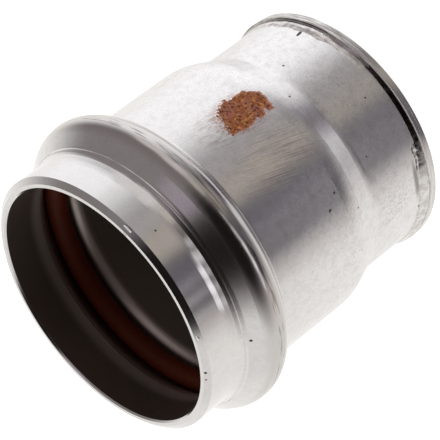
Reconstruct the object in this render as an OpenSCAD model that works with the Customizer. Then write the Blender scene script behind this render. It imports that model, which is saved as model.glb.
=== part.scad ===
// Press end cap for steel pipe, standing on its closed end with the mouth up.
// One tube is formed into pipe guide, seal bead, socket, stop shoulder and neck.
// A disc closes the neck, a fillet weld joins the two, and a ring seals the bead.

/* [Pipe] */
// Outside diameter of the pipe that goes in
pipe_d = 28; // [22:0.5:35]
// Radial clearance between the pipe and the bore
pipe_gap = 0.2; // [0.1:0.05:0.4]

/* [Formed tube] */
// Thickness of the wall, the same all along
wall = 1.25; // [0.9:0.05:1.6]
// Chamfer round the outside of the mouth, along the axis and along the radius
lip_chamfer_h = 0.5; // [0.2:0.05:0.8]
lip_chamfer_w = 0.65; // [0.2:0.05:0.8]
// Edge break round the inside of the mouth
lip_break = 0.18; // [0.05:0.01:0.24]
// Depth of the pipe guide, from the mouth to the foot of the bead
guide_len = 5.5; // [4.5:0.1:9]
// Length at the end of the guide that flares slightly towards the bead
flare_len = 1.65; // [1:0.05:2.2]
// Slope of the flare against the axis
flare_angle = 8; // [3:0.5:10]
// Outer radius of the bend from guide to flare
flare_bend = 7; // [2:0.5:8]
// Depth of the socket, from the mouth to the foot of the stop shoulder
socket_depth = 23.3; // [20:0.1:34]
// Length of the neck between the stop shoulder and the disc
neck_len = 8.35; // [5:0.05:16]

/* [Seal bead] */
// Thickness of the seal ring
seal_d = 2.4; // [2:0.1:3.4]
// How far the seal ring stands into the bore
seal_lip = 0.15; // [0.05:0.01:0.18]
// Play between the seal ring and the crest of the bead
seal_gap = 0.05; // [0.02:0.01:0.15]
// Slope of the bead's front flank against the axis
front_angle = 45; // [40:1:60]
// Slope of the bead's back flank against the axis
back_angle = 70; // [55:1:75]
// Radius of the outer fillet at the front foot of the bead
front_fillet = 1.9; // [0.3:0.05:2.4]
// Radius of the outer fillet at the back foot of the bead
back_fillet = 0.8; // [0.3:0.05:1.2]

/* [Stop shoulder] */
// Height of the shoulder that stops the pipe
stop_h = 1.4; // [0.8:0.05:2]
// Slope of the shoulder against the axis
stop_angle = 21; // [16:0.5:30]
// Inner radius of the bend from socket to shoulder
stop_bend = 5.5; // [3:0.5:8]
// Outer radius of the bend from shoulder to neck
neck_bend = 3; // [1:0.5:5]

/* [Closed end] */
// Thickness of the disc
disc_t = 1.15; // [0.8:0.05:2.5]
// How far the disc stands out past the neck
disc_ledge = 0.45; // [0.4:0.05:1]
// Chamfer round the outer edge of the disc's face
disc_chamfer = 0.2; // [0.1:0.05:0.4]
// Leg of the fillet weld between neck and disc
weld_leg = 0.35; // [0.2:0.05:0.4]
// How far the weld's root reaches into the neck's bevelled end
weld_root = 0.5; // [0.2:0.05:0.7]

/* [Hidden] */
$fn = 96;
// Added to a blend's circle, so that it always crosses the two lines it joins
hair = 0.002;
// How far a blend's sliver reaches past its corner, as a share of the blend's run
past_corner = 0.25;
// Share of a bead's flank that the fillet at its foot may take up
fillet_share = 0.98;

// Radii of the bore, the neck and the disc
bore_r = pipe_d / 2 + pipe_gap;
neck_r = bore_r - stop_h + wall;
disc_r = neck_r + disc_ledge;

// The seal ring's centre line, and the groove radius that cups it
seal_r = bore_r - seal_lip + seal_d / 2;
crest_r = seal_d / 2 + seal_gap;

// Distance from a foot of the bead to the seal's centre, along the axis
function foot_reach(slope) = (crest_r + cos(slope) * (seal_r - bore_r)) / sin(slope);
// Length of a flank, from its foot to where the crest begins
function flank_len(slope) = (seal_r - bore_r + cos(slope) * crest_r) / sin(slope);
// How far the flare widens the guide before it runs into the bead's front flank
flare_h = flare_len * tan(flare_angle) / (1 - tan(flare_angle) / tan(front_angle));

// Depths from the mouth
seal_depth = guide_len + foot_reach(front_angle);
back_foot = seal_depth + foot_reach(back_angle);
neck_depth = socket_depth + stop_h / tan(stop_angle);
tube_len = neck_depth + neck_len;
total_len = tube_len + disc_t;
function height(depth) = total_len - depth;

// Where the two flanks would meet if the bead had no rounded crest
crest_reach = crest_r / cos((front_angle + back_angle) / 2);
crest_lean = (back_angle - front_angle) / 2;
crest_tip = [
    seal_r + crest_reach * cos(crest_lean),
    height(seal_depth + crest_reach * sin(crest_lean))
];

// Inner line of the wall from the mouth down, as [radius, height], with sharp corners
wall_line = [
    [bore_r, height(0)],
    [bore_r, height(guide_len - flare_len)],
    [bore_r + flare_h, height(guide_len + flare_h / tan(front_angle))],
    crest_tip,
    [bore_r, height(back_foot)],
    [bore_r, height(socket_depth)],
    [bore_r - stop_h, height(neck_depth)],
    [bore_r - stop_h, height(tube_len)]
];
// A foot's fillet turns the wall by an angle, on a flank of a given length that it has to fit on
function foot_fillet(fillet, turn, flank) = min(fillet, fillet_share * flank / tan(turn / 2) - wall);
front_turn = front_angle - flare_angle;
front_flank = flank_len(front_angle) - flare_h / sin(front_angle);
// Length of the flare's outside that its own bend leaves for the fillet at its end
flare_outside = moved_left(wall_line, wall);
flare_room = norm(flare_outside[2] - flare_outside[1]) - flare_bend * tan(flare_angle / 2);
// Radius on the hollow side of the bend at each corner between the ends
wall_bends = [
    flare_bend,
    min(foot_fillet(front_fillet, front_turn, front_flank), fillet_share * flare_room / tan(front_turn / 2)),
    crest_r,
    foot_fillet(back_fillet, back_angle, flank_len(back_angle)),
    stop_bend,
    neck_bend
];

// Unit vector, and the vector a quarter turn to its left
function unit(v) = v / norm(v);
function left_of(v) = [-v[1], v[0]];
// Direction of the stretch of a line that starts at point i
function heading(line, i) = unit(line[i + 1] - line[i]);
// Does the line turn to the left at its corner i?
function turns_left(line, i) = cross(heading(line, i - 1), heading(line, i)) > 0;

// A line moved to its left by a distance, with its corners kept sharp
function moved_left(line, dist) = [
    for (i = [0 : len(line) - 1])
        let (
            before = left_of(heading(line, max(i - 1, 0))),
            after = left_of(heading(line, min(i, len(line) - 2)))
        )
        line[i] + dist * (before + after) / (1 + before * after)
];

// A list in the other direction
function backwards(list) = [for (i = [len(list) - 1 : -1 : 0]) list[i]];

// The sliver between corner i of a line and an arc that blends it
module corner_sliver(line, i, radius) {
    corner = line[i];
    back = -heading(line, i - 1);
    ahead = heading(line, i);
    half = acos(back * ahead) / 2;
    run = radius / tan(half);
    centre = corner + unit(back + ahead) * radius / sin(half);
    tip = corner + unit(corner - centre) * run * past_corner;
    outline = [corner + back * run, tip, corner + ahead * run];
    difference() {
        polygon(turns_left(line, i) ? outline : backwards(outline));
        translate(centre) circle(r = radius + hair);
    }
}

// Section of a wall that is bent along a line, with its thickness to the left
module bent_wall(line, bends, thickness) {
    other = moved_left(line, thickness);
    corners = [1 : len(line) - 2];
    difference() {
        union() {
            polygon(concat(line, backwards(other)));
            for (i = corners) {
                hollow_line = turns_left(line, i) ? other : line;
                corner_sliver(hollow_line, i, bends[i - 1]);
            }
        }
        for (i = corners) {
            crown_line = turns_left(line, i) ? line : other;
            corner_sliver(crown_line, i, bends[i - 1] + thickness);
        }
    }
}

// Triangle that takes a chamfer off an upper corner; side is 1 outside, -1 inside
module top_corner_cut(radius, top, w, h, side) {
    polygon([
        [radius - side * 2 * w, top + h],
        [radius + side * w, top + h],
        [radius + side * w, top - 2 * h]
    ]);
}

// Section of the weld: it fills the neck's bevelled end and the corner with the disc
module weld_section() {
    polygon([
        [neck_r - weld_root, disc_t],
        [neck_r + weld_leg, disc_t],
        [neck_r, disc_t + weld_leg]
    ]);
}

// Formed tube: guide, bead, socket, stop shoulder and neck in one wall
module body() {
    color("#b8b6b4")
        rotate_extrude()
            difference() {
                bent_wall(wall_line, wall_bends, wall);
                top_corner_cut(bore_r + wall, height(0), lip_chamfer_w, lip_chamfer_h, 1);
                top_corner_cut(bore_r, height(0), lip_break, lip_break, -1);
                weld_section();
            }
}

// Round rubber ring that lies in the bead
module seal_ring() {
    color("#4a2419")
        rotate_extrude()
            translate([seal_r, height(seal_depth)])
                circle(d = seal_d);
}

// Flat disc that closes the neck
module end_disc() {
    color("#a9a7a4")
        rotate_extrude()
            polygon([
                [0, 0],
                [disc_r - disc_chamfer, 0],
                [disc_r, disc_chamfer],
                [disc_r, disc_t],
                [0, disc_t]
            ]);
}

// Weld round the corner between neck and disc
module weld_seam() {
    color("#8f8c89")
        rotate_extrude()
            weld_section();
}

body();
seal_ring();
end_disc();
weld_seam();
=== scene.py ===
"""Looks of a press fit end cap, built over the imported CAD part.

The cap stands on its closed end with the mouth up. Blender's unit is the metre, and the
sizes below are in millimetres. A side of the cap is named by its turn: degrees round the
axis from -Y, growing towards +X.
"""

import logging
import math
from collections.abc import Callable
from dataclasses import astuple, dataclass
from enum import Enum
from functools import partial
from typing import ClassVar

import bpy
from mathutils import Matrix, Vector, noise
from mathutils.geometry import intersect_point_line


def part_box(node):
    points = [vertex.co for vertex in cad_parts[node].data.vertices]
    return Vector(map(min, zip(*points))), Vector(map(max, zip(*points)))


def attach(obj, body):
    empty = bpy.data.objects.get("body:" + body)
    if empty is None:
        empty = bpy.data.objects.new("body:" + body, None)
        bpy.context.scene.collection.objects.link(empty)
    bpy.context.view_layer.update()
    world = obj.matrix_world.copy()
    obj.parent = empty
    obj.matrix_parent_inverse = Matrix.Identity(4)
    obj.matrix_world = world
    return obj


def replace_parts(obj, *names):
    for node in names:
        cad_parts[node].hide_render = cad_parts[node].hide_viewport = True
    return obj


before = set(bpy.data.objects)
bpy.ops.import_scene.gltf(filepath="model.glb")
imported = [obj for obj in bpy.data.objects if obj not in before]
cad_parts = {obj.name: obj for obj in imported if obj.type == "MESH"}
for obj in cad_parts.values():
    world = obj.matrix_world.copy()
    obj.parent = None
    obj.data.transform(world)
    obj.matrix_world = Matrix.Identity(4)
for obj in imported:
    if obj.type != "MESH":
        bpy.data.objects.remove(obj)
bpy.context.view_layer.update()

MM = 0.001
# Outer radius of the pipe guide and the socket
WALL_R = 15.45
# Half width of a spot that goes all the way round the tube
ALL_ROUND = 200.0
# Inputs that are set as a pair, and the setting for a soft rise between them
FROM = ("From Min", "From Max")
TO = ("To Min", "To Max")
SMOOTH = {"interpolation_type": "SMOOTHSTEP"}
LOG = logging.getLogger("press_fit_end_cap")

Material = bpy.types.Material
Piece = bpy.types.Object
Socket = bpy.types.NodeSocket
Tree = bpy.types.NodeTree
Pair = tuple[float, float]
Settings = dict[str | int | tuple[str, str], object]
Links = dict[str | int, Socket]
Look = tuple[Settings, Links]
AddNode = Callable[..., bpy.types.Node]


class Slot(Enum):
    """Names of the material slots for the formed stainless and the weld metal."""

    FORMED_STAINLESS = "formed_stainless"
    WELD_METAL = "weld_metal"


class Pattern(Enum):
    """Patterns in the skin of the steel."""

    GRAIN = "grain"
    MOTTLE = "mottle"
    PITS = "pits"
    SCORES = "scores"
    WISPS = "wisps"
    ROLL_MARKS = "roll_marks"


def linear(colour: str) -> tuple[float, float, float, float]:
    """Turn an sRGB hex colour into linear light.

    Args:
        colour: Colour as "#rrggbb".

    Returns:
        Red, green, blue and a full alpha.
    """
    parts = (int(colour[i : i + 2], 16) / 255 for i in (1, 3, 5))
    # These numbers are the sRGB standard's own
    red, green, blue = (p / 12.92 if p <= 0.04045 else ((p + 0.055) / 1.055) ** 2.4 for p in parts)
    return red, green, blue, 1.0


def add_node(
    tree: Tree, kind: str, settings: Settings | None = None, links: Links | None = None
) -> bpy.types.Node:
    """Add a node with its settings and links.

    Args:
        tree: Node tree that takes the node.
        kind: Blender's name for the type of node, without the ShaderNode in front.
        settings: Values by the name of an attribute, or the name or number of an input. A pair
            of names takes a pair of values.
        links: Outputs of other nodes by the name or number of the input they feed.

    Returns:
        The new node.
    """
    node = tree.nodes.new("ShaderNode" + kind)
    for key, value in (settings or {}).items():
        for name, item in zip(key, value) if isinstance(key, tuple) else ((key, value),):
            if isinstance(name, str) and hasattr(node, name):
                setattr(node, name, item)
            else:
                node.inputs[name].default_value = item
    for key, output in (links or {}).items():
        tree.links.new(output, node.inputs[key])
    return node


def toward(turn: float, height: float) -> Vector:
    """Give the unit vector towards a turn and a height above the horizon, both in degrees."""
    t, h = math.radians(turn), math.radians(height)
    return Vector((math.sin(t) * math.cos(h), -math.cos(t) * math.cos(h), math.sin(h)))


def on_wall(turn: float, radius: float, height: float) -> Vector:
    """Give the point at a turn in degrees, a radius and a height in millimetres."""
    return (toward(turn, 0) * radius + Vector((0, 0, height))) * MM


def smooth_step(value: float, low: float, high: float) -> float:
    """Rise smoothly from 0 at low to 1 at high."""
    t = min(max((value - low) / (high - low), 0.0), 1.0)
    return t * t * (3 - 2 * t)


def uneven(place: Vector, octaves: int, falloff: float = 1.0) -> float:
    """Give noise about 0 at a place, with waves half as long from one octave to the next."""
    return noise.fractal(place, falloff, 2.0, octaves)


def add_piece(
    name: str,
    points: list[Vector],
    faces: list[tuple[int, ...]],
    material: Material,
) -> Piece:
    """Make a mesh piece that rides on the cap.

    Args:
        name: Name of the piece.
        points: Corners in metres, in the CAD frame.
        faces: Corner numbers of each face.
        material: Finish of the piece.

    Returns:
        The new object.
    """
    mesh = bpy.data.meshes.new(name)
    mesh.from_pydata(points, [], faces)
    mesh.polygons.foreach_set("use_smooth", [True] * len(mesh.polygons))
    mesh.materials.append(material)
    piece = bpy.data.objects.new(name, mesh)
    bpy.context.scene.collection.objects.link(piece)
    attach(piece, "root")
    return piece


def dress(node: str, material: Material) -> None:
    """Give a CAD node its finish.

    Args:
        node: Name of the CAD node.
        material: Finish of the node.
    """
    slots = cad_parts[node].data.materials
    slots.clear()
    slots.append(material)


@dataclass(frozen=True)
class Spot:
    """Soft-edged oval place on the tube's wall, in degrees and millimetres.

    The core is the share of the spot that is covered in full.
    """

    turn: float
    height: float
    half_width: float
    half_height: float
    core: float = 0.4

    def cover(self, add: AddNode, wall: Socket) -> Socket:
        """Measure how much of the spot covers each place on the wall.

        Args:
            add: Adds a node to the material.
            wall: Turn in radians and height in millimetres, as X and Z.

        Returns:
            Cover from 0 to 1.
        """
        middle = (math.radians(self.turn), 0, self.height)
        offset = add("VectorMath", {"operation": "SUBTRACT", 1: middle}, {0: wall}).outputs[0]
        # Shares of the half width to a radian, and of the half height to a millimetre
        rates = (WALL_R / self.half_width, 0, 1 / self.half_height)
        share = add("VectorMath", {"operation": "MULTIPLY", 1: rates}, {0: offset}).outputs[0]
        away = add("VectorMath", {"operation": "LENGTH"}, {0: share}).outputs["Value"]
        return add("MapRange", {FROM: (1.0, self.core), **SMOOTH}, {"Value": away}).outputs[0]


@dataclass(frozen=True)
class Layer:
    """Tint of a spot on the tube's wall, drawn by a pattern.

    The tint begins at one level of the pattern and reaches its most at another.
    """

    pattern: Pattern
    begin: float
    full: float
    most: float
    spot: Spot
    tint: str


@dataclass(frozen=True)
class Finish:
    """A real material, with the surface that its making gave it.

    A relief is how strongly a bump shows, and a depth is how deep it is drawn.
    """

    name: str

    def paint(self, add: AddNode, place: Socket) -> Look:
        """Add the nodes of the surface, and give the shader's settings and links."""
        raise NotImplementedError

    def material(self) -> Material:
        """Build the material.

        Returns:
            The finished material.
        """
        material = bpy.data.materials.new(self.name)
        material.use_nodes = True
        material.node_tree.nodes.clear()
        add = partial(add_node, material.node_tree)
        place = add("TexCoord").outputs["Object"]
        shader = add("BsdfPrincipled", *self.paint(add, place))
        add("OutputMaterial", links={"Surface": shader.outputs[0]})
        return material


@dataclass(frozen=True)
class PickledStainless(Finish):
    """Stainless steel, drawn to shape and pickled.

    Pickling leaves a grey satin skin with fine mottled grain and pits. Towards the mouth the
    forming tools rubbed it smoother, so it mirrors more. They also left roll marks on the bead, a
    crease in front of it, and scores along the socket, with a painted highlight along their ridges.
    The corner behind the bead is darker on the -Y side, dirt lies along the weld, and a place on
    the mouth's chamfer is scuffed. Inside, the drawing grease has left a dark brown film, with
    painted highlights at the bead's front and back foot.
    """

    name: str = "pickled_stainless_drawn"
    # Rust that lies in the skin
    traces: tuple[Layer, ...] = ()
    steel: str = "#dad9d9"
    dull_steel: str = "#cbcac9"
    # Film in the bead and the guide, and deeper in
    film: str = "#756961"
    deep_film: str = "#a79e97"
    # Roughness of the skin as it was pickled, and where it is rubbed, filmed or scuffed
    satin: float = 0.28
    rubbed: float = 0.14
    filmed: float = 0.36
    scuffed: float = 0.5
    # How metallic the filmed steel still looks
    film_metal: float = 0.6
    # Heights over which the tools rubbed the skin more and more
    rub_rise: Pair = (12.0, 32.0)
    # How much of the mottling they rubbed away at the mouth
    evenness: float = 0.7
    # Heights over which the deeper film goes over to the film of the bead
    film_rise: Pair = (24.5, 27.5)
    # The cut edge of the mouth has no film: it begins over these heights
    film_top: Pair = (36.25, 36.15)
    # The wall counts as inside where its radius times its normal's outward part is this low
    inward: Pair = (-1.0, -6.0)
    # Levels of the mottling and the grain, and how bright the grain is at its levels
    dull_levels: Pair = (0.45, 0.7)
    grain_levels: Pair = (0.25, 0.75)
    grain_tones: Pair = (1.14, 0.86)
    # Relief of the grain where the skin is as pickled and where it is rubbed
    grain_relief: Pair = (0.2, 0.08)
    grain_depth: float = 0.02
    score_depth: float = 0.012
    crease_depth: float = 0.06
    # Width and length of each pattern. The grain and the scores are about 0.05 mm wide, too fine
    # to show, so they are drawn about four times as wide
    sizes: tuple[tuple[Pattern, float, float], ...] = (
        (Pattern.GRAIN, 0.2, 0.2),
        (Pattern.MOTTLE, 0.9, 0.9),
        (Pattern.PITS, 0.3, 0.3),
        (Pattern.SCORES, 0.18, 7.5),
        (Pattern.WISPS, 0.26, 1.7),
    )
    # Lean of the long patterns against the axis, in degrees
    lean: float = 15.0
    # How far a roll mark runs round the bead, and its width
    mark_run: float = 2.6
    mark_width: float = 0.2
    scuff: Spot = Spot(17, 36.2, 0.5, 0.6, 0.5)
    crease: Spot = Spot(0, 31.22, ALL_ROUND, 0.22, 0.0)
    # Painted highlights: lighter bands in the film on the inside, at the bead's front and back foot
    worn: tuple[tuple[Spot, str], ...] = (
        (Spot(0, 31.6, ALL_ROUND, 1.6, 0.1), "#c6bdb7"),
        (Spot(0, 25.95, ALL_ROUND, 0.65, 0.1), "#efe7e1"),
    )
    scored: Spot = Spot(5, 18.0, 4.0, 7.0)
    layers: tuple[Layer, ...] = (
        # Duller crest of the bead
        Layer(Pattern.MOTTLE, 0.0, 0.4, 1.0, Spot(0, 28.1, ALL_ROUND, 1.9, 0.5), "#bdbab8"),
        # Darker tint in the corner behind the bead, on the -Y side
        Layer(Pattern.MOTTLE, 0.0, 0.3, 1.0, Spot(-2, 25.75, 13.0, 0.85, 0.3), "#8b8784"),
        # Roll marks on the crest
        Layer(Pattern.ROLL_MARKS, 0.5, 0.62, 0.75, Spot(0, 27.95, ALL_ROUND, 0.6, 0.5), "#7d7671"),
        # Scores: a darker brown tint along them, and a lighter tint that is a painted highlight
        # along their ridges
        Layer(Pattern.SCORES, 0.48, 0.7, 0.65, scored, "#a1968c"),
        # Painted highlight along the score ridges
        Layer(Pattern.SCORES, 0.5, 0.3, 0.7, scored, "#f0e6da"),
        # Pits on two sides of the neck
        Layer(Pattern.PITS, 0.58, 0.7, 0.5, Spot(15, 8.0, 6.0, 5.5), "#7d7671"),
        Layer(Pattern.PITS, 0.52, 0.66, 0.5, Spot(-45, 6.0, 4.0, 3.5, 0.3), "#7d7671"),
        # Dirt along the weld
        Layer(Pattern.MOTTLE, 0.0, 0.3, 0.9, Spot(-43, 2.6, 3.6, 0.5, 0.3), "#8b8784"),
    )

    def inside(self, add: AddNode, place: Socket, height: Socket) -> Socket:
        """Tell the inside of the tube, which faces the axis, from the outside.

        Args:
            add: Adds a node to the material.
            place: Position in metres.
            height: Height in millimetres.

        Returns:
            1 on the inside, and 0 on the outside and on the cut edge of the mouth.
        """
        level = add("VectorMath", {"operation": "MULTIPLY", 1: (1, 1, 0)}, {0: place}).outputs[0]
        normal = add("NewGeometry").outputs["Normal"]
        outward = add(
            "VectorMath", {"operation": "DOT_PRODUCT"}, {0: level, 1: normal}
        ).outputs["Value"]
        facing_axis = add(
            "MapRange", {FROM: [MM * reach for reach in self.inward], **SMOOTH}, {"Value": outward}
        ).outputs[0]
        below_cut = add("MapRange", {FROM: self.film_top}, {"Value": height}).outputs[0]
        return add("Math", {"operation": "MULTIPLY"}, {0: facing_axis, 1: below_cut}).outputs[0]

    def film_colour(self, add: AddNode, wall: Socket, height: Socket) -> Socket:
        """Colour the film on the inside, with its painted highlight bands.

        Args:
            add: Adds a node to the material.
            wall: Turn in radians and height in millimetres, as X and Z.
            height: Height in millimetres.

        Returns:
            The colour.
        """
        mouth = add("MapRange", {FROM: self.film_rise}, {"Value": height}).outputs[0]
        colour = add(
            "Mix",
            {"data_type": "RGBA", 6: linear(self.deep_film), 7: linear(self.film)},
            {0: mouth},
        ).outputs[2]
        # Painted highlights: the lighter bands at the bead's feet
        for spot, tint in self.worn:
            colour = add(
                "Mix", {"data_type": "RGBA", 7: linear(tint)}, {0: spot.cover(add, wall), 6: colour}
            ).outputs[2]
        return colour

    def patterns(self, add: AddNode, mm: Socket, wall: Socket) -> dict[Pattern, Socket]:
        """Draw the patterns of the skin.

        Args:
            add: Adds a node to the material.
            mm: Position in millimetres.
            wall: Turn in radians and height in millimetres, as X and Z.

        Returns:
            Level of each pattern, about 0.5.
        """
        drawn = {}
        for pattern, width, length in self.sizes:
            lean = self.lean if length > width else 0.0
            laid = add(
                "Mapping",
                {
                    "vector_type": "TEXTURE",
                    "Rotation": (0, math.radians(lean), 0),
                    "Scale": (width, width, length),
                },
                {"Vector": mm},
            ).outputs[0]
            drawn[pattern] = add(
                "TexNoise", {"Scale": 1.0, "Detail": 4.0, "Roughness": 0.65}, {"Vector": laid}
            ).outputs["Fac"]
        laid = add(
            "Mapping", {"Scale": (WALL_R / self.mark_run, 1, 1 / self.mark_width)}, {"Vector": wall}
        ).outputs[0]
        drawn[Pattern.ROLL_MARKS] = add(
            "TexNoise", {"Scale": 1.0, "Detail": 2.0}, {"Vector": laid}
        ).outputs["Fac"]
        return drawn

    def skin_colour(
        self, add: AddNode, wall: Socket, rub: Socket, drawn: dict[Pattern, Socket]
    ) -> Socket:
        """Colour the skin on the outside, with what lies on it.

        Args:
            add: Adds a node to the material.
            wall: Turn in radians and height in millimetres, as X and Z.
            rub: How much the tools rubbed the skin.
            drawn: Level of each pattern.

        Returns:
            The colour.
        """
        dull = add(
            "MapRange", {FROM: self.dull_levels}, {"Value": drawn[Pattern.MOTTLE]}
        ).outputs[0]
        colour = add(
            "Mix",
            {"data_type": "RGBA", 6: linear(self.steel), 7: linear(self.dull_steel)},
            {0: dull},
        ).outputs[2]
        tone = add(
            "MapRange",
            {FROM: self.grain_levels, TO: self.grain_tones},
            {"Value": drawn[Pattern.GRAIN]},
        ).outputs[0]
        colour = add("VectorMath", {"operation": "SCALE"}, {0: colour, "Scale": tone}).outputs[0]
        even = add("Math", {"operation": "MULTIPLY", 1: self.evenness}, {0: rub}).outputs[0]
        colour = add(
            "Mix", {"data_type": "RGBA", 7: linear(self.dull_steel)}, {0: even, 6: colour}
        ).outputs[2]
        for layer in self.layers + self.traces:
            share = add(
                "MapRange",
                {FROM: (layer.begin, layer.full), "To Max": layer.most},
                {"Value": drawn[layer.pattern]},
            ).outputs[0]
            here = layer.spot.cover(add, wall)
            amount = add("Math", {"operation": "MULTIPLY"}, {0: share, 1: here}).outputs[0]
            colour = add(
                "Mix", {"data_type": "RGBA", 7: linear(layer.tint)}, {0: amount, 6: colour}
            ).outputs[2]
        return colour

    def paint(self, add: AddNode, place: Socket) -> Look:
        """Add the nodes of the surface.

        Args:
            add: Adds a node to the material.
            place: Position in metres.

        Returns:
            Settings and links of the shader.
        """
        # Y is mirrored, so that the turn grows from -Y towards +X
        mm = add("Mapping", {"Scale": (1 / MM, -1 / MM, 1 / MM)}, {"Vector": place}).outputs[0]
        axes = add("SeparateXYZ", links={0: mm}).outputs
        turn = add("Math", {"operation": "ARCTAN2"}, {0: axes["X"], 1: axes["Y"]}).outputs[0]
        wall = add("CombineXYZ", links={"X": turn, "Z": axes["Z"]}).outputs[0]
        inside = self.inside(add, place, axes["Z"])
        rub = add("MapRange", {FROM: self.rub_rise}, {"Value": axes["Z"]}).outputs[0]
        drawn = self.patterns(add, mm, wall)
        skin = self.skin_colour(add, wall, rub, drawn)
        film = self.film_colour(add, wall, axes["Z"])
        colour = add("Mix", {"data_type": "RGBA"}, {0: inside, 6: skin, 7: film}).outputs[2]

        rough = add(
            "Mix", {"data_type": "FLOAT", 2: self.satin, 3: self.rubbed}, {0: rub}
        ).outputs[0]
        scuff = self.scuff.cover(add, wall)
        for share, roughness in ((inside, self.filmed), (scuff, self.scuffed)):
            rough = add(
                "Mix", {"data_type": "FLOAT", 3: roughness}, {0: share, 2: rough}
            ).outputs[0]
        metal = add("MapRange", {TO: (1.0, self.film_metal)}, {"Value": inside}).outputs[0]

        relief = add("MapRange", {TO: self.grain_relief}, {"Value": rub}).outputs[0]
        bump = add(
            "Bump",
            {"Distance": self.grain_depth * MM},
            {"Height": drawn[Pattern.GRAIN], "Strength": relief},
        ).outputs[0]
        scored = self.scored.cover(add, wall)
        bump = add(
            "Bump",
            {"Distance": self.score_depth * MM},
            {"Height": drawn[Pattern.SCORES], "Normal": bump, "Strength": scored},
        ).outputs[0]
        crease = self.crease.cover(add, wall)
        bump = add(
            "Bump", {"Distance": self.crease_depth * MM}, {"Height": crease, "Normal": bump}
        ).outputs[0]
        return {}, {"Base Color": colour, "Metallic": metal, "Roughness": rough, "Normal": bump}


@dataclass(frozen=True)
class TurnedStainless(Finish):
    """Stainless disc, its edge turned on a lathe.

    Turning leaves fine lines round the edge, which break the reflections into thin stripes.
    """

    name: str = "turned_stainless"
    steel: str = "#d8d6d4"
    dull_steel: str = "#8b8783"
    roughness: float = 0.22
    # Real turning lines are about 0.1 mm apart; these are drawn at three times that to show
    line_mm: float = 0.3
    # Height of a line as a share of its length round the edge
    slimness: float = 0.11
    line_relief: float = 0.5
    line_depth: float = 0.05
    # Levels of the lines at which they are bright and dull
    dull_levels: Pair = (0.3, 0.6)
    # The +X side was handled more: from where to where it gets duller, and how dull the rest is
    handled: Pair = (2.0, 8.0)
    least_dull: float = 0.3
    # The tool left a step near the weld, which shows as a bright line
    step: Pair = (0.95, 1.08)
    step_depth: float = 0.06

    def paint(self, add: AddNode, place: Socket) -> Look:
        """Add the nodes of the surface.

        Args:
            add: Adds a node to the material.
            place: Position in metres.

        Returns:
            Settings and links of the shader.
        """
        scale = (self.slimness / MM, self.slimness / MM, 1 / MM)
        laid = add("Mapping", {"Scale": scale}, {"Vector": place}).outputs[0]
        lines = add(
            "TexNoise", {"Scale": 1 / self.line_mm, "Detail": 3.0}, {"Vector": laid}
        ).outputs["Fac"]
        axes = add("SeparateXYZ", links={0: place}).outputs
        most = add(
            "MapRange",
            {FROM: [MM * x for x in self.handled], "To Min": self.least_dull},
            {"Value": axes["X"]},
        ).outputs[0]
        dull = add(
            "MapRange", {FROM: self.dull_levels}, {"Value": lines, "To Max": most}
        ).outputs[0]
        colour = add(
            "Mix",
            {"data_type": "RGBA", 6: linear(self.steel), 7: linear(self.dull_steel)},
            {0: dull},
        ).outputs[2]
        bump = add(
            "Bump",
            {"Strength": self.line_relief, "Distance": self.line_depth * MM},
            {"Height": lines},
        ).outputs[0]
        step = add(
            "MapRange", {FROM: [MM * z for z in self.step], **SMOOTH}, {"Value": axes["Z"]}
        ).outputs[0]
        bump = add(
            "Bump", {"Distance": self.step_depth * MM}, {"Height": step, "Normal": bump}
        ).outputs[0]
        settings = {"Metallic": 1.0, "Roughness": self.roughness}
        return settings, {"Base Color": colour, "Normal": bump}


@dataclass(frozen=True)
class WeldMetal(Finish):
    """Stainless weld metal, fused and left as welded.

    It sets smooth and shiny with shallow ripples, and heat dulls it in spots.
    """

    name: str = "stainless_weld_fused"
    bright: str = "#d6d4d3"
    dulled: str = "#bdb9b5"
    roughness: float = 0.24
    spot_mm: float = 0.7
    dull_levels: Pair = (0.4, 0.62)
    # Height of a ripple, and that height as a share of its length along the weld
    ripple_mm: float = 0.2
    slimness: float = 0.12
    ripple_relief: float = 0.6
    ripple_depth: float = 0.06

    def paint(self, add: AddNode, place: Socket) -> Look:
        """Add the nodes of the surface.

        Args:
            add: Adds a node to the material.
            place: Position in metres.

        Returns:
            Settings and links of the shader.
        """
        spots = add(
            "TexNoise", {"Scale": 1 / (self.spot_mm * MM), "Detail": 4.0}, {"Vector": place}
        ).outputs["Fac"]
        dull = add("MapRange", {FROM: self.dull_levels}, {"Value": spots}).outputs[0]
        colour = add(
            "Mix", {"data_type": "RGBA", 6: linear(self.bright), 7: linear(self.dulled)}, {0: dull}
        ).outputs[2]
        scale = (self.slimness / MM, self.slimness / MM, 1 / MM)
        laid = add("Mapping", {"Scale": scale}, {"Vector": place}).outputs[0]
        ripples = add(
            "TexNoise", {"Scale": 1 / self.ripple_mm, "Detail": 2.0}, {"Vector": laid}
        ).outputs["Fac"]
        bump = add(
            "Bump",
            {"Strength": self.ripple_relief, "Distance": self.ripple_depth * MM},
            {"Height": ripples},
        ).outputs[0]
        settings = {"Metallic": 1.0, "Roughness": self.roughness}
        return settings, {"Base Color": colour, "Normal": bump}


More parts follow.
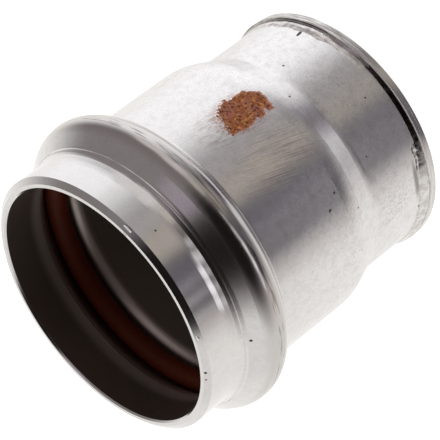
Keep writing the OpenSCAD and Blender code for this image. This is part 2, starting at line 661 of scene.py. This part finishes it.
@dataclass(frozen=True)
class MouldedRubber(Finish):
    """Fluororubber, moulded.

    A dark red-brown, with the soft sheen of a moulded and lightly greased skin.
    """

    name: str = "fluororubber_moulded"
    rubber: str = "#7d3519"
    bloom: str = "#5a220f"
    roughness: float = 0.6
    ior: float = 1.5
    # How much it mirrors, dulled by dusty grease, where a clean skin has 0.5
    sheen: float = 0.25
    bloom_mm: float = 0.8
    bloom_relief: float = 0.2
    bloom_depth: float = 0.03

    def paint(self, add: AddNode, place: Socket) -> Look:
        """Add the nodes of the surface.

        Args:
            add: Adds a node to the material.
            place: Position in metres.

        Returns:
            Settings and links of the shader.
        """
        bloom = add(
            "TexNoise", {"Scale": 1 / (self.bloom_mm * MM), "Detail": 4.0}, {"Vector": place}
        ).outputs["Fac"]
        colour = add(
            "Mix", {"data_type": "RGBA", 6: linear(self.rubber), 7: linear(self.bloom)}, {0: bloom}
        ).outputs[2]
        bump = add(
            "Bump",
            {"Strength": self.bloom_relief, "Distance": self.bloom_depth * MM},
            {"Height": bloom},
        ).outputs[0]
        settings = {"Roughness": self.roughness, "IOR": self.ior, "Specular IOR Level": self.sheen}
        return settings, {"Base Color": colour, "Normal": bump}


@dataclass(frozen=True)
class GrownRust(Finish):
    """Iron oxide, grown in the damp on a smear of plain iron.

    It is matt and crumbly, brown with ochre grains, redder patches and near-black hollows, and
    paler where it is thin.
    """

    name: str = "iron_oxide_grown"
    brown: str = "#9a5730"
    ochre: str = "#c98a4e"
    red: str = "#a26552"
    dark: str = "#582a15"
    pale: str = "#b5806c"
    roughness: float = 0.85
    grain_mm: float = 0.45
    patch_mm: float = 1.8
    hollow_mm: float = 0.28
    hollow_relief: float = 0.6
    hollow_depth: float = 0.08
    # Levels at which grains, patches and hollows begin and are full
    grain_levels: Pair = (0.5, 0.66)
    patch_levels: Pair = (0.48, 0.58)
    hollow_levels: Pair = (0.5, 0.36)
    most_red: float = 0.8
    # The crust is pale below this thickness, and this much so at its edge
    thin_mm: float = 0.05
    most_pale: float = 0.9

    def paint(self, add: AddNode, place: Socket) -> Look:
        """Add the nodes of the surface.

        Args:
            add: Adds a node to the material.
            place: Position in metres.

        Returns:
            Settings and links of the shader.
        """
        grains, patches, hollows = (
            add(
                "TexNoise", {"Scale": 1 / (size * MM), "Detail": detail}, {"Vector": place}
            ).outputs["Fac"]
            for size, detail in ((self.grain_mm, 4.0), (self.patch_mm, 1.0), (self.hollow_mm, 3.0))
        )
        level = add("VectorMath", {"operation": "MULTIPLY", 1: (1, 1, 0)}, {0: place}).outputs[0]
        radius = add("VectorMath", {"operation": "LENGTH"}, {0: level}).outputs["Value"]
        thin = ((WALL_R + self.thin_mm) * MM, WALL_R * MM)
        base: Settings = {6: linear(self.brown)}
        under: Links = {}
        for value, levels, most, tint in (
            (grains, self.grain_levels, 1.0, self.ochre),
            (patches, self.patch_levels, self.most_red, self.red),
            (hollows, self.hollow_levels, 1.0, self.dark),
            (radius, thin, self.most_pale, self.pale),
        ):
            share = add("MapRange", {FROM: levels, "To Max": most}, {"Value": value}).outputs[0]
            colour = add(
                "Mix", {"data_type": "RGBA", 7: linear(tint), **base}, {0: share, **under}
            ).outputs[2]
            base, under = {}, {6: colour}
        bump = add(
            "Bump",
            {"Strength": self.hollow_relief, "Distance": self.hollow_depth * MM},
            {"Height": hollows},
        ).outputs[0]
        return {"Roughness": self.roughness}, {"Base Color": colour, "Normal": bump}


@dataclass(frozen=True)
class MillScale(Finish):
    """Iron oxide scale, burnt on when the steel was hot.

    Small near-black specks that stay dull between the bright reflections.
    """

    name: str = "oxide_scale_burnt"
    black: str = "#25201e"
    brown: str = "#5a4b42"
    roughness: float = 0.6
    patch_mm: float = 0.15

    def paint(self, add: AddNode, place: Socket) -> Look:
        """Add the nodes of the surface.

        Args:
            add: Adds a node to the material.
            place: Position in metres.

        Returns:
            Settings and links of the shader.
        """
        patches = add(
            "TexNoise", {"Scale": 1 / (self.patch_mm * MM), "Detail": 3.0}, {"Vector": place}
        ).outputs["Fac"]
        colour = add(
            "Mix", {"data_type": "RGBA", 6: linear(self.black), 7: linear(self.brown)}, {0: patches}
        ).outputs[2]
        return {"Roughness": self.roughness}, {"Base Color": colour}


@dataclass(frozen=True)
class WhitePaper(Finish):
    """White paper, uncoated and matt, with light behind it so that it stays an even white."""

    name: str = "white_paper_matt"
    white: str = "#f7f7f6"
    roughness: float = 0.9
    glow: float = 0.95

    def paint(self, add: AddNode, place: Socket) -> Look:
        """Give the shader's settings, since plain paper needs no nodes."""
        white = {("Base Color", "Emission Color"): [linear(self.white)] * 2}
        return {**white, "Roughness": self.roughness, "Emission Strength": self.glow}, {}


@dataclass(frozen=True)
class RustPatch:
    """Crust of rust on the socket."""

    # Outline as turn in degrees and height in millimetres
    outline: tuple[Pair, ...] = (
        (37.3, 16.6),
        (35.5, 16.8),
        (35.6, 16.0),
        (35.4, 14.7),
        (33.5, 14.2),
        (30.2, 13.5),
        (26.2, 13.6),
        (22.8, 13.8),
        (20.6, 14.0),
        (20.4, 14.7),
        (23.0, 14.8),
        (20.6, 15.05),
        (19.9, 15.7),
        (20.4, 16.1),
        (21.0, 16.3),
        (20.6, 16.8),
        (20.1, 17.5),
        (20.0, 18.2),
        (20.5, 18.9),
        (21.3, 19.8),
        (23.0, 20.1),
        (25.8, 19.8),
        (29.3, 19.4),
        (32.6, 19.1),
        (35.4, 18.6),
        (35.9, 17.7),
    )
    # Size of a face, and room round the outline for what juts out
    cell: float = 0.06
    room: float = 0.5
    # The crust's edge is sunk into the wall, and it reaches its thickness this far in
    sunk: float = 0.012
    slope: float = 0.45
    # Thickness of the crust, and the share of it that is there in the hollows
    thickness: float = 0.09
    least: float = 0.35
    # How far the edge wavers
    ragged: float = 0.12
    # How far loose crumbs lie round the edge, on the sharp side and on the dusty side
    crumbs: Pair = (0.08, 0.55)
    # Where the dusty side is on the unrolled wall, and how far out it begins and is full
    dusty_way: Pair = (0.6, 0.8)
    dusty_from: Pair = (-0.6, 2.2)
    # Waves per millimetre of edge, crumbs and top, and the layer of the noise for each
    edge_waves: Pair = (1.6, 3.0)
    crumb_waves: Pair = (4.5, 5.0)
    top_waves: Pair = (2.6, 9.0)

    @property
    def traces(self) -> tuple[Layer, ...]:
        """Lay the rust in the steel's skin.

        Returns:
            A stain towards the mouth, and dust all round.
        """
        turn, height = (sum(axis) / len(self.outline) for axis in zip(*self.outline))
        stain = Spot(turn + 1, height + 3.2, 3.4, 4.8, 0.2)
        halo = Spot(turn + 1.5, height + 0.5, 3.0, 4.0, 0.72)
        return (
            Layer(Pattern.WISPS, 0.45, 0.62, 0.7, stain, "#8b7770"),
            Layer(Pattern.GRAIN, 0.42, 0.6, 0.6, halo, "#9a6653"),
        )

    @staticmethod
    def waves(spot: Vector, per_mm: float, layer: float) -> Vector:
        """Give the place in the noise of a spot on the unrolled wall."""
        return Vector((spot.x * per_mm, spot.y * per_mm, layer))

    @staticmethod
    def depth(point: Vector, corners: list[Vector]) -> float:
        """Measure how far inside the outline a point lies.

        Args:
            point: Place on the unrolled wall, in millimetres.
            corners: Outline on the unrolled wall, in millimetres.

        Returns:
            Distance to the outline, negative outside.
        """
        inside, nearest = False, math.inf
        for a, b in zip(corners, corners[1:] + corners[:1]):
            beside = (a.y > point.y) != (b.y > point.y)
            if beside and point.x < a.x + (point.y - a.y) * (b.x - a.x) / (b.y - a.y):
                inside = not inside
            _, share = intersect_point_line(point, a, b)
            foot = a.lerp(b, min(max(share, 0.0), 1.0))
            nearest = min(nearest, (point - foot).length)
        return nearest if inside else -nearest

    def build(self, material: Material) -> Piece:
        """Build the crust as a rough sheet on the wall.

        Args:
            material: Finish of the crust.

        Returns:
            The crust.
        """
        arc = math.radians(1) * WALL_R
        corners = [Vector((t * arc, h)) for t, h in self.outline]
        room = Vector((self.room, self.room))
        low = Vector((min(c.x for c in corners), min(c.y for c in corners))) - room
        high = Vector((max(c.x for c in corners), max(c.y for c in corners))) + room
        columns, rows = (math.ceil(side / self.cell) for side in high - low)
        centre = (low + high) / 2
        dusty_way = Vector(self.dusty_way)
        sharp, dusty = self.crumbs
        points, kept = [], {}
        for row in range(rows):
            for column in range(columns):
                spot = low + Vector((column, row)) * self.cell
                inside = self.depth(spot, corners)
                inside += self.ragged * uneven(self.waves(spot, *self.edge_waves), octaves=4)
                side = smooth_step((spot - centre) @ dusty_way, *self.dusty_from)
                crumbs = sharp + (dusty - sharp) * side
                inside += crumbs * noise.noise(self.waves(spot, *self.crumb_waves))
                if inside < -self.cell:
                    continue
                top = 0.5 + 0.5 * uneven(self.waves(spot, *self.top_waves), octaves=4, falloff=0.8)
                full = self.thickness * smooth_step(inside, 0.0, self.slope)
                radius = WALL_R + (-self.sunk + full * (self.least + max(top, 0.0)))
                kept[column, row] = len(points)
                points.append(on_wall(spot.x / arc, radius, spot.y))
        faces = []
        for column, row in kept:
            square = ((column, row), (column + 1, row), (column + 1, row + 1), (column, row + 1))
            if all(corner in kept for corner in square):
                faces.append(tuple(kept[corner] for corner in square))
        return add_piece("rust_crust", points, faces, material)


@dataclass(frozen=True)
class Speck:
    """Place and size of a speck on the tube's wall, in degrees and millimetres.

    A level speck lies flat like a ledge, where another one follows the wall.
    """

    turn: float
    height: float
    length: float
    width: float
    tilt: float = 0.0
    level: bool = False


@dataclass
class FormedTube:
    """The tube with pipe guide, bead, socket, shoulder and neck."""

    rust: RustPatch = RustPatch()
    rust_finish: GrownRust = GrownRust()
    scale_finish: MillScale = MillScale()
    scale: tuple[Speck, ...] = (
        Speck(47.5, 2.65, 1.1, 0.42, 12),
        Speck(-47.3, 30.75, 0.42, 0.34),
        Speck(-50.8, 36.3, 0.4, 0.3),
        Speck(-54.7, 36.3, 0.3, 0.24),
        Speck(10.0, 34.14, 0.32, 0.26),
        Speck(-19.6, 14.5, 0.36, 0.3, 30),
        Speck(-24.5, 15.9, 0.5, 0.34, 20),
        Speck(-31.8, 12.2, 0.24, 0.2),
        Speck(-17.8, 7.9, 0.24, 0.2),
        Speck(2.7, 4.0, 0.26, 0.22),
        Speck(21.7, 11.2, 0.36, 0.3),
        Speck(37.4, 7.8, 0.3, 0.26),
        Speck(-58.7, 2.4, 0.3, 0.34),
    )
    burrs: tuple[Speck, ...] = (
        Speck(17.0, 36.2, 0.9, 1.1, level=True),
        Speck(-33.5, 36.3, 0.5, 0.6, level=True),
    )
    # A lump's rings, as shares of its reach and of how far it stands proud
    rings: tuple[Pair, ...] = ((1.0, -0.4), (0.6, 0.8), (0.01, 1.0))
    sides: int = 14
    proud: float = 0.03
    # How far a lump's outline wavers, as a share of its size, and how fast it does
    waver: float = 0.18
    waver_waves: float = 2.0

    def lumps(self, name: str, specks: tuple[Speck, ...], material: Material) -> Piece:
        """Build specks as low lumps on the wall.

        Args:
            name: Name of the piece.
            specks: The specks.
            material: Finish of the specks.

        Returns:
            The specks as one piece.
        """
        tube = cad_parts["body"]
        to_tube = tube.matrix_world.inverted()
        points, faces = [], []
        for speck in specks:
            start = to_tube @ on_wall(speck.turn, 2 * WALL_R, speck.height)
            axis = to_tube @ on_wall(0, 0, speck.height)
            _, hit, normal, _ = tube.ray_cast(start, (axis - start).normalized())
            crosswise = toward(speck.turn + 90, 0)
            normal = Vector((0, 0, 1)) if speck.level else normal
            lengthwise = crosswise.cross(normal)
            twist = Matrix.Rotation(math.radians(speck.tilt), 3, normal)
            first = len(points)
            for share, rise in self.rings:
                for side in range(self.sides):
                    angle = math.tau * side / self.sides
                    cos, sin = math.cos(angle), math.sin(angle)
                    around = Vector((speck.turn, self.waver_waves * cos, self.waver_waves * sin))
                    reach = share * (0.5 + self.waver * noise.noise(around))
                    along = lengthwise * (speck.length * cos) + crosswise * (speck.width * sin)
                    step = twist @ along * reach + normal * (rise * self.proud)
                    points.append(tube.matrix_world @ (hit + step * MM))
            for ring in range(len(self.rings) - 1):
                near = first + ring * self.sides
                far = near + self.sides
                for side in range(self.sides):
                    after = (side + 1) % self.sides
                    faces.append((near + side, near + after, far + after, far + side))
        return add_piece(name, points, faces, material)

    def build(self) -> list[str]:
        """Dress the tube and put its rust, scale and burrs on.

        Returns:
            Names of the pieces.
        """
        steel = PickledStainless(traces=self.rust.traces).material()
        dress("body", steel)
        crust = self.rust.build(self.rust_finish.material())
        scale = self.lumps("scale_specks", self.scale, self.scale_finish.material())
        burrs = self.lumps("lip_burrs", self.burrs, steel)
        return ["body", crust.name, scale.name, burrs.name]


@dataclass
class SealRing:
    """The rubber ring in the bead."""

    finish: MouldedRubber = MouldedRubber()

    def build(self) -> list[str]:
        """Dress the ring and give its name."""
        dress("seal_ring", self.finish.material())
        return ["seal_ring"]


@dataclass(frozen=True)
class WeldStation:
    """Section of the weld at one turn, in degrees and millimetres.

    The foot stands out from the neck on the disc, and the face rises from it to the lip. The lip
    stands out from the neck up to its top, and fades into the neck at the reach.
    """

    # Places of the points up the face, up the lip, and out and up where the lip fades
    FACE: ClassVar[tuple[float, ...]] = (0.0, 0.06, 0.35, 0.65, 0.94, 1.0)
    LIP: ClassVar[tuple[float, ...]] = (0.1, 0.5, 0.9)
    FADING: ClassVar[tuple[Pair, ...]] = (
        (1.0, 0.0),
        (0.92, 0.18),
        (0.7, 0.36),
        (0.35, 0.58),
        (0.1, 0.8),
        (0.0, 1.0),
    )
    # How far the face is sunk into the disc, and the faded end into the neck
    FACE_SUNK: ClassVar[float] = 0.004
    END_SUNK: ClassVar[float] = 0.03

    turn: float
    foot: float
    face: float
    lip: float
    top: float
    reach: float
    ripple: float = 0.003

    def between(self, other: "WeldStation", turn: float) -> "WeldStation":
        """Give the section at a turn between this station and the next one."""
        share = smooth_step(turn, self.turn, other.turn)
        return WeldStation(*(a + (b - a) * share for a, b in zip(astuple(self), astuple(other))))

    def section(self, root: float) -> list[Pair]:
        """Give the section's outline.

        Args:
            root: How far the weld reaches into the neck.

        Returns:
            Points as distance out from the neck and up from the disc, the face first.
        """
        face = [
            (self.foot + (self.lip - self.foot) * share, self.face * share - self.FACE_SUNK)
            for share in self.FACE
        ]
        lip = [(self.lip, self.face + (self.top - self.face) * share) for share in self.LIP]
        fading = [
            (self.lip * out - self.END_SUNK * share**2, self.top + (self.reach - self.top) * share)
            for out, share in self.FADING
        ]
        return [*face, *lip, *fading, (-root, 0.0)]


@dataclass
class ClosedEnd:
    """The disc that closes the neck, and the weld that holds it."""

    disc_finish: TurnedStainless = TurnedStainless()
    weld_finish: WeldMetal = WeldMetal()
    burnt_finish: WeldMetal = WeldMetal("stainless_weld_burnt", "#5d5752", "#453f3b")
    stations: tuple[WeldStation, ...] = (
        WeldStation(-180, 0.35, 0.37, -0.03, 0.6, 1.2),
        WeldStation(-117, 0.35, 0.37, -0.03, 0.6, 1.2),
        WeldStation(-110, 0.42, 1.0, 0.1, 1.05, 1.2),
        WeldStation(-39, 0.42, 1.0, 0.1, 1.05, 1.2, 0.01),
        WeldStation(-36, 0.42, 0.8, 0.08, 0.95, 1.2, 0.08),
        WeldStation(-29, 0.42, 0.6, 0.06, 0.9, 1.2, 0.08),
        WeldStation(-25, 0.44, 0.4, -0.03, 0.7, 1.2, 0.05),
        WeldStation(-8, 0.44, 0.4, -0.03, 0.6, 1.2, 0.06),
        WeldStation(12, 0.44, 0.24, -0.03, 0.6, 1.2, 0.04),
        WeldStation(15, 0.44, 0.24, 0.05, 0.6, 1.15),
        WeldStation(31, 0.42, 0.4, 0.06, 0.7, 1.15),
        WeldStation(38, 0.22, 0.06, 0.17, 0.4, 1.35, 0.012),
        WeldStation(75, 0.22, 0.06, 0.17, 0.4, 1.35, 0.012),
        WeldStation(110, 0.35, 0.37, -0.03, 0.6, 1.2),
        WeldStation(180, 0.35, 0.37, -0.03, 0.6, 1.2),
    )
    # How far the weld reaches into the neck, and the number of its sections
    root: float = 0.45
    steps: int = 720
    # The lip's edge waves up and down: how far, how long a wave is, and the heights it sets in at
    wave: float = 0.16
    wave_mm: float = 1.6
    wave_rise: Pair = (0.5, 1.0)
    # Length of a ripple, and the height above which there are any
    ripple_mm: float = 0.4
    ripple_from: float = 0.1
    # Turns between which the face is burnt, and how ragged the ends are: by how many degrees,
    # degrees to a wave, the shift from one strip of the face to the next, and the noise's layer
    burnt_from: float = -25.5
    burnt_to: float = 13.0
    burnt_ragged: float = 2.5
    ragged_wave: float = 40.0
    ragged_shift: float = 0.7
    ragged_layer: float = 0.3

    def weld(self) -> Piece:
        """Build the weld as a ring with an uneven lip, its face burnt dark on one side.

        Returns:
            The weld.
        """
        low, high = (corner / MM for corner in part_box("weld_seam"))
        foot, neck_r = low.z, high.x - (high.z - low.z)
        strips = len(WeldStation.FACE) - 1
        points, faces, burnt = [], [], []
        for step in range(self.steps):
            turn = 360 * step / self.steps - 180
            way = toward(turn, 0) * neck_r
            after = next(i for i, station in enumerate(self.stations) if station.turn > turn)
            station = self.stations[after - 1].between(self.stations[after], turn)
            section = station.section(self.root)
            for out, up in section:
                wave = self.wave * smooth_step(up, *self.wave_rise)
                up += wave * uneven(way / self.wave_mm, octaves=3)
                if up > self.ripple_from and out > 0:
                    place = Vector((way.x, way.y, up)) / self.ripple_mm
                    out += station.ripple * uneven(place, octaves=2)
                points.append(on_wall(turn, neck_r + out, foot + up))
            count = len(section)
            near, far = step * count, (step + 1) % self.steps * count
            for i in range(count):
                j = (i + 1) % count
                faces.append((near + i, near + j, far + j, far + i))
                place = Vector((turn / self.ragged_wave, i * self.ragged_shift, self.ragged_layer))
                end = turn + self.burnt_ragged * noise.noise(place)
                burnt.append(int(i < strips and self.burnt_from < end < self.burnt_to))
        weld = add_piece("weld_bead", points, faces, self.weld_finish.material())
        weld.data.materials.append(self.burnt_finish.material())
        weld.data.polygons.foreach_set("material_index", burnt)
        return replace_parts(weld, "weld_seam")

    def build(self) -> list[str]:
        """Dress the disc, lay the weld and give their names."""
        dress("end_disc", self.disc_finish.material())
        return ["end_disc", self.weld().name]


@dataclass(frozen=True)
class TentPanel:
    """Part of the light tent, as a soft-edged round patch of the sky seen from the cap.

    Its place, and how far its core and its rim are from its middle, are in degrees.
    """

    turn: float
    height: float
    core: float
    rim: float
    light: str


@dataclass
class Studio:
    """Light tent, floor and camera."""

    # White cloth all round, with lighter and darker panels, each over the ones before it
    cloth: str = "#fefdff"
    panels: tuple[TentPanel, ...] = (
        TentPanel(-102, -36, 68, 79, "#ccc3c1"),
        TentPanel(-3, -33, 21, 68, "#6d686a"),
        TentPanel(12, -23, 6, 18, "#aaa29a"),
        TentPanel(-21, -88, 17, 22, "#dedcde"),
        TentPanel(-53, -69, 3, 11, "#a19ea2"),
        TentPanel(37, -72, 3, 14, "#4b3d4b"),
        TentPanel(178, -56, 16, 31, "#4a4748"),
        TentPanel(38, 86, 91, 121, "#7d7777"),
        TentPanel(-150, -4, 54, 96, "#e4e2df"),
        TentPanel(-112, 33, 14, 32, "#d9d6d4"),
        TentPanel(66, -16, 6, 16, "#d4d0cf"),
        TentPanel(44, -12, 8, 19, "#cfc9c8"),
        TentPanel(-19, 19, 22, 51, "#1c1817"),
        TentPanel(-48, 78, 20, 31.5, "#181312"),
        TentPanel(-42, -37, 5, 15, "#403d43"),
        TentPanel(-20, -35, 5, 14, "#5d5a61"),
        TentPanel(-52, -21, 3, 8, "#ebe7eb"),
        TentPanel(-39, -21, 3, 8, "#fdf9fd"),
        TentPanel(-26, -20, 3, 8, "#f3eff3"),
        TentPanel(-14, -16, 2.5, 7.5, "#d3cfd1"),
        TentPanel(-2, -14, 2, 6, "#b5b0b0"),
        TentPanel(26, -9, 6, 13, "#b7b0aa"),
        TentPanel(31, -27, 3, 11, "#a39e9d"),
        TentPanel(14, -48, 6, 15, "#96918d"),
        TentPanel(40, 60, 1, 15, "#968d95"),
    )
    # How bright the tent is, and what the camera sees of it past the cap
    strength: float = 1.45
    backdrop: str = "#ffffff"
    paper: WhitePaper = WhitePaper()
    floor_size: float = 3000.0
    floor_drop: float = 0.02
    # The camera's lens and the square picture in pixels, the point it looks at, and from where
    lens_px: float = 2600.0
    image_px: float = 440.0
    aim: tuple[float, float, float] = (-0.33, 1.04, 18.2)
    distance: float = 277.93
    elevation: float = 30.01
    roll: float = -127.26
    # Nearest and farthest that it sees, in metres
    clip_m: Pair = (0.01, 10.0)

    def light(self) -> None:
        """Hang the light tent as the world round the cap."""
        world = bpy.data.worlds.new("light_tent")
        world.use_nodes = True
        world.node_tree.nodes.clear()
        add = partial(add_node, world.node_tree)
        direction = add("TexCoord").outputs["Generated"]
        coats = []
        for panel in self.panels:
            middle = toward(panel.turn, panel.height)
            facing = add(
                "VectorMath", {"operation": "DOT_PRODUCT", 1: middle}, {0: direction}
            ).outputs["Value"]
            edge = [math.cos(math.radians(angle)) for angle in (panel.rim, panel.core)]
            cover = add("MapRange", {FROM: edge, **SMOOTH}, {"Value": facing}).outputs[0]
            coats.append((cover, panel.light))
        seen = add("LightPath").outputs["Is Camera Ray"]
        base: Settings = {6: linear(self.cloth)}
        under: Links = {}
        for cover, colour in (*coats, (seen, self.backdrop)):
            mix = add(
                "Mix", {"data_type": "RGBA", 7: linear(colour), **base}, {0: cover, **under}
            ).outputs[2]
            base, under = {}, {6: mix}
        shine = add("Background", {"Strength": self.strength}, {"Color": mix})
        add("OutputWorld", links={"Surface": shine.outputs[0]})
        bpy.context.scene.world = world

    def floor(self) -> Piece:
        """Lay the pale floor.

        Returns:
            The floor.
        """
        half = self.floor_size / 2
        around = ((-half, -half), (half, -half), (half, half), (-half, half))
        corners = [Vector((x, y, -self.floor_drop)) * MM for x, y in around]
        mesh = bpy.data.meshes.new("floor")
        mesh.from_pydata(corners, [], [(0, 1, 2, 3)])
        mesh.materials.append(self.paper.material())
        floor = bpy.data.objects.new("floor", mesh)
        bpy.context.scene.collection.objects.link(floor)
        # The steel mirrors the tent's own lower half instead of the floor
        floor.visible_glossy = False
        return floor

    def camera(self) -> Piece:
        """Set the camera at the photograph's viewing angle.

        Returns:
            The camera.
        """
        data = bpy.data.cameras.new("camera")
        data.lens = data.sensor_width * self.lens_px / self.image_px
        data.clip_start, data.clip_end = self.clip_m
        camera = bpy.data.objects.new("camera", data)
        bpy.context.scene.collection.objects.link(camera)
        back = toward(0, self.elevation)
        look = (-back).to_track_quat("-Z", "Y").to_matrix().to_4x4()
        place = Matrix.Translation((Vector(self.aim) + back * self.distance) * MM)
        camera.matrix_world = place @ look @ Matrix.Rotation(math.radians(self.roll), 4, "Z")
        bpy.context.scene.camera = camera
        return camera

    def build(self) -> list[str]:
        """Set light, floor and camera.

        Returns:
            Names of what was set up.
        """
        view = bpy.context.scene.view_settings
        view.view_transform = "Standard"
        view.look = "None"
        self.light()
        return [self.floor().name, self.camera().name]


def main() -> None:
    """Build the cap's looks and the studio, and log the names of what was built."""
    logging.basicConfig(level=logging.INFO, format="%(name)s: %(message)s")
    for part in (FormedTube(), SealRing(), ClosedEnd(), Studio()):
        for name in part.build():
            LOG.info("%s: %s", type(part).__name__, name)


if __name__ == "__main__":
    main()
